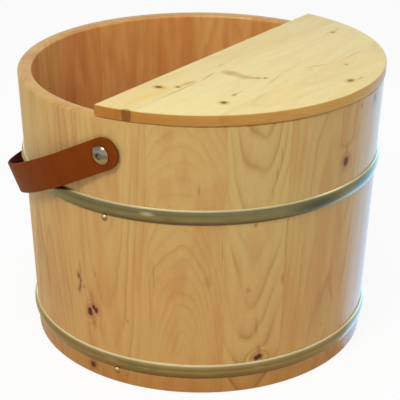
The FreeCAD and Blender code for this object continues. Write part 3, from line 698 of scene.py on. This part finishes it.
azimuth = FIRST_JOINT
for number, (share, cut) in enumerate(zip(STAVE_SHARES, STAVE_CUTS), 1):
    width = 360 * share / sum(STAVE_SHARES)
    make_stave(f"stave_{number:02d}", azimuth, width, cut)
    azimuth += width


# Boards of the lid and the bottom

def make_board(name, radius, low, thickness, edges, turn, arris, cut, material):
    """A round of wood sawn along one or two straight edges, with its outline eased."""
    deselect()
    bpy.ops.mesh.primitive_cylinder_add(
        vertices=ROUND_STEPS, radius=radius * MM, depth=thickness * MM,
        location=(0, 0, (low + thickness / 2) * MM))
    piece = name_piece("cedar_" + name)
    bpy.ops.object.transform_apply(location=True)
    bpy.ops.object.mode_set(mode="EDIT")
    turned_round = Matrix.Rotation(math.radians(turn), 3, "Z")
    outward, along = turned_round @ Vector((1, 0, 0)), turned_round @ Vector((0, 1, 0))
    for edge, keep_high in zip(edges, (True, False)):
        if edge is not None:
            select_whole()
            bpy.ops.mesh.bisect(plane_co=outward * edge * MM, plane_no=outward, use_fill=True,
                                clear_inner=keep_high, clear_outer=not keep_high)
    # The lid's free straight edge is eased as its outline is, and not as a joint.
    joints = [edge for edge in edges if edge is not None
              and not (material is lid_wood and edge == LID_EDGES[0])]

    def flat_edge(edge):
        return abs(edge.verts[0].co.z - edge.verts[1].co.z) < SAME_LEVEL

    def by_joint(edge):
        return any(all(abs(v.co.dot(outward) - joint * MM) < SAME_PLACE for v in edge.verts)
                   for joint in joints)
    if arris:
        choose(piece, "EDGE", lambda edge: flat_edge(edge) and not by_joint(edge)
               and not edge.is_boundary and edge.calc_face_angle(0) > 1)
        bpy.ops.mesh.bevel(offset=arris * MM, segments=3, profile=0.5)
    choose(piece, "EDGE", by_joint)
    bpy.ops.mesh.bevel(offset=BOARD_ARRIS * MM, segments=1)
    finish_mesh(piece)
    saw_from_log(piece, cut, lambda point: (
        point.dot(outward) / MM, low + thickness - point.z / MM, point.dot(along) / MM), 0.0)
    dress_piece(piece, material)
    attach(piece, "root")
    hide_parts(name)


# How each board was sawn, in the measures of the staves' cuts
LID_CUTS = ((30, 40, 0.06, 7, 0.16, 0.36), (96, 34, 0.08, 8, 0.14, 0.1),
            (150, 44, -0.07, 7.5, 0.2, 0.25))
for number, cut in enumerate(LID_CUTS):
    make_board(f"lid_board_{number + 1}", LID_RADIUS, TUB_HEIGHT, LID_THICKNESS,
               LID_EDGES[number:number + 2], LID_TURN, LID_ARRIS, cut, lid_wood)

BOTTOM_RADIUS = GROOVE_RADIUS - BOTTOM_PLAY
BOTTOM_EDGES = (None, -0.5 * BOTTOM_RADIUS, 0.0, 0.5 * BOTTOM_RADIUS, None)
BOTTOM_CUTS = ((-130, 30, 0.04, 4.4, 0.6, 0.5), (-40, 22, -0.05, 4.8, 0.6, 0.25),
               (48, 36, 0.05, 4.2, 0.6, 0.7), (120, 26, -0.04, 4.6, 0.6, 0.4))
for number, cut in enumerate(BOTTOM_CUTS):
    make_board(f"bottom_board_{number + 1}", BOTTOM_RADIUS, BOTTOM_LOW, BOTTOM_THICKNESS,
               BOTTOM_EDGES[number:number + 2], 0.0, 0.0, cut, bottom_wood)


# Hoops

def bulge(low, high, rise, count):
    """Points of a flat arc from one end to the other that stands out by a rise."""
    (r0, z0), (r1, z1) = low, high
    chord = math.hypot(r1 - r0, z1 - z0)
    radius = (chord ** 2 / 4 + rise ** 2) / (2 * rise)
    out = ((z1 - z0) / chord, -(r1 - r0) / chord)
    points = []
    for index in range(count + 1):
        share = 2 * index / count - 1
        offset = math.sqrt(radius ** 2 - (share * chord / 2) ** 2) - (radius - rise)
        points.append((r0 + (r1 - r0) * (share + 1) / 2 + out[0] * offset,
                       z0 + (z1 - z0) * (share + 1) / 2 + out[1] * offset))
    return points


for name, low in HOOP_LEVELS.items():
    high = low + HOOP_HEIGHT
    inner_low, inner_high = outside(low) + HOOP_PLAY, outside(high) + HOOP_PLAY
    face = bulge((inner_low + HOOP_EDGE, low), (inner_high + HOOP_EDGE, high), HOOP_CROWN - HOOP_EDGE, 14)
    profile = [(inner_low, low), *face, (inner_high, high)]
    piece = draw("steel_" + name, [around(0, radius, level) for radius, level in profile])
    # The profile's two ends lie against the wall: an edge closes it there.
    choose(piece, "VERT", lambda v: v.co.x < (inner_high + 0.4 * HOOP_EDGE) * MM
           and v.co.x < (outside(v.co.z / MM) + 0.3 * HOOP_EDGE) * MM)
    bpy.ops.mesh.edge_face_add()
    spin_round(piece, 180)
    dress_piece(piece, hoop_steel[name])
    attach(piece, "root")
    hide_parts(name)


# Domed heads: tacks, handle screws and cap nuts

def dome(radius, rise, base, stop=0.0, count=9):
    """Points over a dome, from its edge at a base level up to a radius near its top."""
    ball = (radius ** 2 + rise ** 2) / (2 * rise)
    widest = math.asin(radius / ball)
    narrowest = math.asin(stop / ball)
    points = []
    for index in range(count + 1):
        angle = widest + (narrowest - widest) * index / count
        points.append((ball * math.sin(angle), base + rise - ball + ball * math.cos(angle)))
    return points


def pointing(azimuth, inwards=False):
    """The turn that lays a piece's own Z along an azimuth."""
    direction = around(azimuth, -1 if inwards else 1, 0)
    return direction.to_track_quat("Z", "Y")


def copy_piece(piece, name):
    """A copy with a mesh of its own."""
    copy = piece.copy()
    copy.data = piece.data.copy()
    copy.name = name
    bpy.context.scene.collection.objects.link(copy)
    return copy


def join(pieces, name):
    deselect()
    for piece in pieces:
        piece.select_set(True)
    bpy.context.view_layer.objects.active = pieces[0]
    bpy.ops.object.join()
    return name_piece(name)


def turned(name, profile, steps):
    """A closed turned piece, from a profile that starts and ends on its axis."""
    piece = draw(name, [(radius * MM, 0, level * MM) for radius, level in profile])
    return spin_round(piece, steps)


half_head, half_shank = NAIL_HEAD / 2, NAIL_SHANK / 2
tack = turned("tack", [(0, -NAIL_LENGTH), (half_shank, half_shank - NAIL_LENGTH), (half_shank, 0),
                       *dome(half_head, NAIL_RISE, 0.0)], 32)
dress_piece(tack, nail_steel)
for hoop, azimuths in NAIL_AZIMUTHS.items():
    level = HOOP_LEVELS[hoop] - NAIL_HEAD / 2 - NAIL_PLAY
    tacks = []
    for azimuth in azimuths:
        copy = copy_piece(tack, f"{hoop}_tack")
        place_piece(copy, around(azimuth, outside(level) + NAIL_PLAY, level), pointing(azimuth))
        tacks.append(copy)
    piece = join(tacks, f"{hoop}_tacks")
    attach(piece, "root")
    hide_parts(f"{hoop}_nails")
bpy.data.objects.remove(tack)

# The strap's line and what holds it, as distances from the tub's axis in millimetres
WASHER, WASHER_RADIUS, SEAT, SIDE_GAP = 1.0, 8.0, 0.05, 0.2
STRAP_HALF_WIDTH, STRAP_THICKNESS, STRAP_END, STRAP_EDGE = 17.0, 3.0, 3.3, 1.1
STRAP_INSIDE = outside(HANDLE_LEVEL + WASHER_RADIUS) + SEAT + WASHER + SIDE_GAP
STRAP_LINE = STRAP_INSIDE + STRAP_THICKNESS / 2
SCREW_SEAT = STRAP_LINE + STRAP_THICKNESS / 2 + SIDE_GAP
SCREW_HEAD, SCREW_RISE, SCREW_RIM, SCREW_SHANK = 19.5, 4.6, 0.9, 6.0
SCREW_TIP, TIP_ROOM, HEAD_EDGE = 0.5, 0.5, 0.25
SOCKET_WIDTH, SOCKET_DEPTH, SOCKET_MOUTH, PLATE_MARGIN = 6.0, 2.4, 4.1, 0.1
SOCKET_CORNER = SOCKET_WIDTH / math.sqrt(3)
NUT, NUT_RISE, NUT_RIM, NUT_BORE, NUT_PLAY, NUT_EDGE = 17.0, 6.5, 1.2, 4.5, 0.05, 0.3
NUT_SEAT = math.sqrt(inside(HANDLE_LEVEL - NUT / 2) ** 2 - (NUT / 2) ** 2) - SEAT

# Handle screw: a domed head with a six-sided socket in the flat on its top
length = SCREW_SEAT - NUT_SEAT + NUT_BORE - TIP_ROOM
shank = SCREW_SHANK / 2
head = dome(SCREW_HEAD / 2, SCREW_RISE - SCREW_RIM, SCREW_RIM, SOCKET_MOUTH, 10)
mouth_level = head[-1][1]
screw = turned("handle_screw", [
    (0, -length), (shank - SCREW_TIP, -length), (shank, SCREW_TIP - length), (shank, 0),
    (SCREW_HEAD / 2 - HEAD_EDGE, 0), (SCREW_HEAD / 2, HEAD_EDGE), *head, (0, mouth_level)], 60)
deselect()
bpy.ops.mesh.primitive_cylinder_add(vertices=6, radius=SOCKET_CORNER * MM,
                                    depth=2 * SOCKET_DEPTH * MM, location=(0, 0, mouth_level * MM))
cutter = name_piece("socket_cutter")
apply_modifier(screw, "BOOLEAN", object=cutter, operation="DIFFERENCE", solver="EXACT")
bpy.data.objects.remove(cutter)
bpy.ops.object.mode_set(mode="EDIT")
finish_mesh(screw, 30.0)
dress_piece(screw, chrome)
screw.data.materials.append(socket_plate)
for face in screw.data.polygons:
    depth = mouth_level - face.center.z / MM
    in_socket = face.center.xy.length < SOCKET_CORNER * MM
    if in_socket and PLATE_MARGIN < depth < SOCKET_DEPTH + PLATE_MARGIN:
        face.material_index = 1

bore = shank + NUT_PLAY
nut = turned("cap_nut", [
    (0, NUT_BORE), (bore, NUT_BORE), (bore, 0), (NUT / 2 - NUT_EDGE, 0),
    (NUT / 2, NUT_EDGE), *dome(NUT / 2, NUT_RISE - NUT_RIM, NUT_RIM)], 48)
dress_piece(nut, chrome)
for side, azimuth in (("near", -90.0), ("far", 90.0)):
    for model, part, seat, inwards in ((screw, "handle_screw", SCREW_SEAT, False),
                                       (nut, "cap_nut", NUT_SEAT, True)):
        piece = copy_piece(model, f"chrome_{side}_{part}")
        place_piece(piece, around(azimuth, seat, HANDLE_LEVEL), pointing(azimuth, inwards))
        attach(piece, "root")
        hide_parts(f"{side}_{part}")
    dress_piece(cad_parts[f"{side}_washer"], zinc_plate)
for model in (screw, nut):
    bpy.data.objects.remove(model)
for name in ("stave_pegs", "bottom_pegs", "lid_pegs"):
    dress_piece(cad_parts[name], bamboo)


# The carry strap. It lies at rest so many degrees below level, clear of the wall and the lid.

STRAP_REST, STRAP_BEND, STRAP_CORNER = 27.0, 150.0, 110.0
WALL_GAP, LID_GAP = 0.4, 0.45
TIP_FLAT = 0.02   # millimetres left between the two rounded corners of an end
ARC_PITCH = 3.0   # millimetres between the points of an arc


def arc_between(start, end, radius, left):
    """Points after the start, up to the end, along an arc that turns left or right."""
    across = end - start
    rise = math.sqrt(radius ** 2 - across.length_squared / 4)
    normal = Vector((-across.y, across.x)).normalized()
    centre = (start + end) / 2 + normal * rise * (1 if left else -1)
    first = math.atan2(start.y - centre.y, start.x - centre.x)
    sweep = 2 * math.asin(across.length / 2 / radius) * (1 if left else -1)
    count = max(3, round(abs(sweep) * radius / ARC_PITCH))
    return [centre + radius * Vector((math.cos(first + sweep * i / count),
                                      math.sin(first + sweep * i / count))) for i in range(1, count + 1)]


def strap_route():
    """The strap's middle line: X away from the screws, Y along their line, as the solid's."""
    half, leg, corner = STRAP_HALF_WIDTH, TUB_HEIGHT - HANDLE_LEVEL, STRAP_CORNER
    rest = math.radians(STRAP_REST)
    opening = math.atan((LID_RADIUS + LID_GAP - STRAP_INSIDE) / (leg - half))
    tangent = STRAP_BEND * math.tan(opening / 2)
    leg_end = Vector((leg, STRAP_LINE + (leg - half) * math.tan(opening)))
    centre = leg_end + corner * Vector((math.sin(opening), -math.cos(opening)))
    wall = outside(HANDLE_LEVEL - half * math.cos(rest))
    depth = ((wall + WALL_GAP + half * math.sin(rest) + STRAP_THICKNESS / 2)
             / (math.cos(rest) + SIDE_TAPER / TUB_HEIGHT * math.sin(rest)))
    reach = depth - corner
    middle_x = (reach ** 2 - centre.x ** 2 - centre.y ** 2) / (2 * (reach - centre.x))
    middle_radius = depth - middle_x
    angle = math.atan(centre.y / (centre.x - middle_x))
    shoulder = Vector((middle_x + middle_radius * math.cos(angle), middle_radius * math.sin(angle)))
    first = Vector((-half - STRAP_END, STRAP_LINE))
    second = Vector((half - tangent, STRAP_LINE))
    third = Vector((half + tangent * math.cos(opening), STRAP_LINE + tangent * math.sin(opening)))
    far = [first, second, *arc_between(second, third, STRAP_BEND, True), leg_end,
           *arc_between(leg_end, shoulder, corner, False),
           *arc_between(shoulder, Vector((depth, 0)), middle_radius, False)]
    near = [Vector((point.x, -point.y)) for point in far[-2::-1]]
    return far + near


strap_turn = Matrix.Rotation(math.radians(180 - STRAP_REST), 3, "Y")
route = strap_route()


def strap_place(point, across):
    """A point of the strap's own plane, in the row's frame, in metres."""
    turned_point = strap_turn @ Vector((point.x, point.y, across))
    return (turned_point + Vector((0, 0, HANDLE_LEVEL))) * MM


strap = draw("leather_carry_strap", [strap_place(point, -STRAP_HALF_WIDTH) for point in route])
select_whole()
width_step = strap_turn @ Vector((0, 0, 2 * STRAP_HALF_WIDTH * MM))
bpy.ops.mesh.extrude_edges_move(TRANSFORM_OT_translate={"value": tuple(width_step)})
corners = [strap_place(point, side * STRAP_HALF_WIDTH)
           for point in (route[0], route[-1]) for side in (-1, 1)]
choose(strap, "VERT", lambda v: any((v.co - corner).length < SAME_PLACE for corner in corners))
bpy.ops.mesh.bevel(offset=(STRAP_HALF_WIDTH - TIP_FLAT) * MM, segments=14, profile=0.5,
                   affect="VERTICES")
select_whole()
bpy.ops.mesh.normals_make_consistent(inside=False)
bpy.ops.object.mode_set(mode="OBJECT")
apply_modifier(strap, "SOLIDIFY", thickness=STRAP_THICKNESS * MM, offset=0.0, use_even_offset=True)
apply_modifier(strap, "BEVEL", width=STRAP_EDGE * MM, segments=3, limit_method="ANGLE",
               angle_limit=math.radians(50))
bpy.ops.object.mode_set(mode="EDIT")
finish_mesh(strap)

# Each point's place in the hide: along the route, across from the middle line or round the
# screw at an end, and through the leather
lengths = [0.0]
for start, end in zip(route, route[1:]):
    lengths.append(lengths[-1] + (end - start).length)
back_turn = strap_turn.inverted()
hide_places = []
for vertex in strap.data.vertices:
    local = back_turn @ (vertex.co / MM - Vector((0, 0, HANDLE_LEVEL)))
    flat_point = local.xy
    nearest = None
    for index, (start, end) in enumerate(zip(route, route[1:])):
        run = end - start
        share = min(max((flat_point - start).dot(run) / run.length_squared, 0.0), 1.0)
        offset = flat_point - (start + run * share)
        if nearest is None or offset.length < nearest[0]:
            side = run.x * offset.y - run.y * offset.x
            nearest = (offset.length, lengths[index] + run.length * share,
                       math.copysign(offset.length, side))
    end_x = -min(local.x + STRAP_END, 0.0)
    across = math.hypot(local.z, end_x) if end_x else abs(local.z)
    hide_places.append((nearest[1] * MM, across * MM, nearest[2] * MM))
write_attribute(strap, "hide", hide_places)
dress_piece(strap, saddle_leather(STRAP_HALF_WIDTH * MM, STRAP_THICKNESS / 2 * MM))
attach(strap, "handle")
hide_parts("carry_strap")


# Floor, lights and camera

FLOOR_SIZE = 14.0
FLOOR_WHITE = 0.9      # how much of the floor is plain light, against its own shade
GLOSS_CENTRE = 0.19    # metres along X to the point that the gloss colours turn round
GLOSS_LIGHT = 3.2
# What gloss sees of the floor, by the turn from +X: a bright cold white behind the tub on the
# right, and a warm and dimmer light in front
GLOSS_COLOURS = [
    (0.08, "#939088"), (0.13, "#979797"), (0.18, "#A8D5FA"), (0.31, "#A8D5FA"), (0.36, "#979797"),
    (0.42, "#90866C"), (0.83, "#918874"), (0.95, "#939088")]
WORLD_LEVEL = 0.4     # the sky's light on the tub; the camera and gloss see a sky of 1
TUB_MIDDLE = Vector((0, 0, 0.16))
CAMERA_PLACE = Vector((0.6401, -1.161, 0.7346))
CAMERA_PITCH, CAMERA_ROLL, CAMERA_LENS = 24.162, 0.469, 113.8


def seen_rays(tree):
    """1 for the rays that show a surface, straight, in gloss or through glass; 1 for the camera's."""
    rays = add(tree, "LightPath").outputs
    kinds = [rays[f"Is {kind} Ray"] for kind in ("Camera", "Glossy", "Transmission")]
    return chain(tree, "MAXIMUM", kinds), kinds[0]


def plain_floor():
    """White to the camera, with some of its own shade, so that it keeps the shadow."""
    material, tree = new_material("pale floor")
    place = add(tree, "TexCoord").outputs["Object"]
    shaded = add(tree, "BsdfDiffuse", None, {
        "Color": ramp(tree, noise(tree, place, 3.0), [(0.3, "#F8F8F8"), (0.7, "#FBFBFB")])})
    white = add(tree, "Emission", None, {"Color": WHITE, "Strength": 1.0})
    parts = parts_of(tree, place)
    angle = maths(tree, "ARCTAN2", parts["Y"], maths(tree, "SUBTRACT", parts["X"], GLOSS_CENTRE))
    turn = maths(tree, "WRAP", maths(tree, "DIVIDE", angle, 2 * math.pi), 1.0, 0.0)
    mirrored = add(tree, "Emission", None, {
        "Color": ramp(tree, turn, GLOSS_COLOURS), "Strength": GLOSS_LIGHT})
    seen, by_camera = seen_rays(tree)
    bright = add(tree, "MixShader", None, {
        0: by_camera, 1: mirrored.outputs[0], 2: white.outputs[0]})
    finish_material(tree, "MixShader", {
        0: maths(tree, "MULTIPLY", seen, FLOOR_WHITE), 1: shaded.outputs[0], 2: bright.outputs[0]})
    return material


deselect()
bpy.ops.mesh.primitive_plane_add(size=FLOOR_SIZE, location=(0, 0, 0))
floor = name_piece("floor")
dress_piece(floor, plain_floor())

world = bpy.data.worlds.new("studio")
bpy.context.scene.world = world
world.use_nodes = True
sky = world.node_tree
sky.nodes.clear()
backdrop = add(sky, "Background", None, {
    "Color": WHITE, "Strength": spread(sky, seen_rays(sky)[0], end=(WORLD_LEVEL, 1.0))})
add(sky, "OutputWorld", None, {"Surface": backdrop.outputs[0]})


def direction(azimuth, elevation):
    """A unit vector, from the degrees round and up."""
    rise = math.radians(elevation)
    return around(azimuth, math.cos(rise), math.sin(rise)) / MM


def link_new(name, data):
    made = bpy.data.objects.new(name, data)
    bpy.context.scene.collection.objects.link(made)
    return made


def lamp(name, azimuth, elevation, distance, size, watts, colour="#FFFFFF"):
    """A square soft lamp aimed at the middle of the tub."""
    data = bpy.data.lights.new(name, "AREA")
    data.shape = "SQUARE"
    data.size = size
    data.energy = watts
    data.color = linear(colour)[:3]
    made = link_new(name, data)
    away = direction(azimuth, elevation)
    made.location = TUB_MIDDLE + away * distance
    made.rotation_euler = away.to_track_quat("Z", "Y").to_euler()
    made.visible_camera = False


lamp("key", -92.0, 46.0, 1.9, 0.45, 13.0, "#FFFAF2")
lamp("window", 30.0, 30.0, 1.6, 0.9, 3.2, "#EAF4FF")
lamp("top", -60.0, 80.0, 2.2, 1.2, 8.5)
lamp("front", -62.0, 48.0, 2.2, 0.9, 4.4)

camera_data = bpy.data.cameras.new("camera")
camera_data.sensor_width = 36.0
camera_data.lens = CAMERA_LENS
camera = link_new("camera", camera_data)
camera.location = CAMERA_PLACE
sight = -direction(azimuth_of(CAMERA_PLACE), CAMERA_PITCH)
camera.rotation_euler = (sight.to_track_quat("-Z", "Y").to_matrix().to_4x4()
                         @ Matrix.Rotation(math.radians(CAMERA_ROLL), 4, "Z")).to_euler()
bpy.context.scene.camera = camera
bpy.context.scene.view_settings.view_transform = "Standard"

bpy.context.view_layer.update()
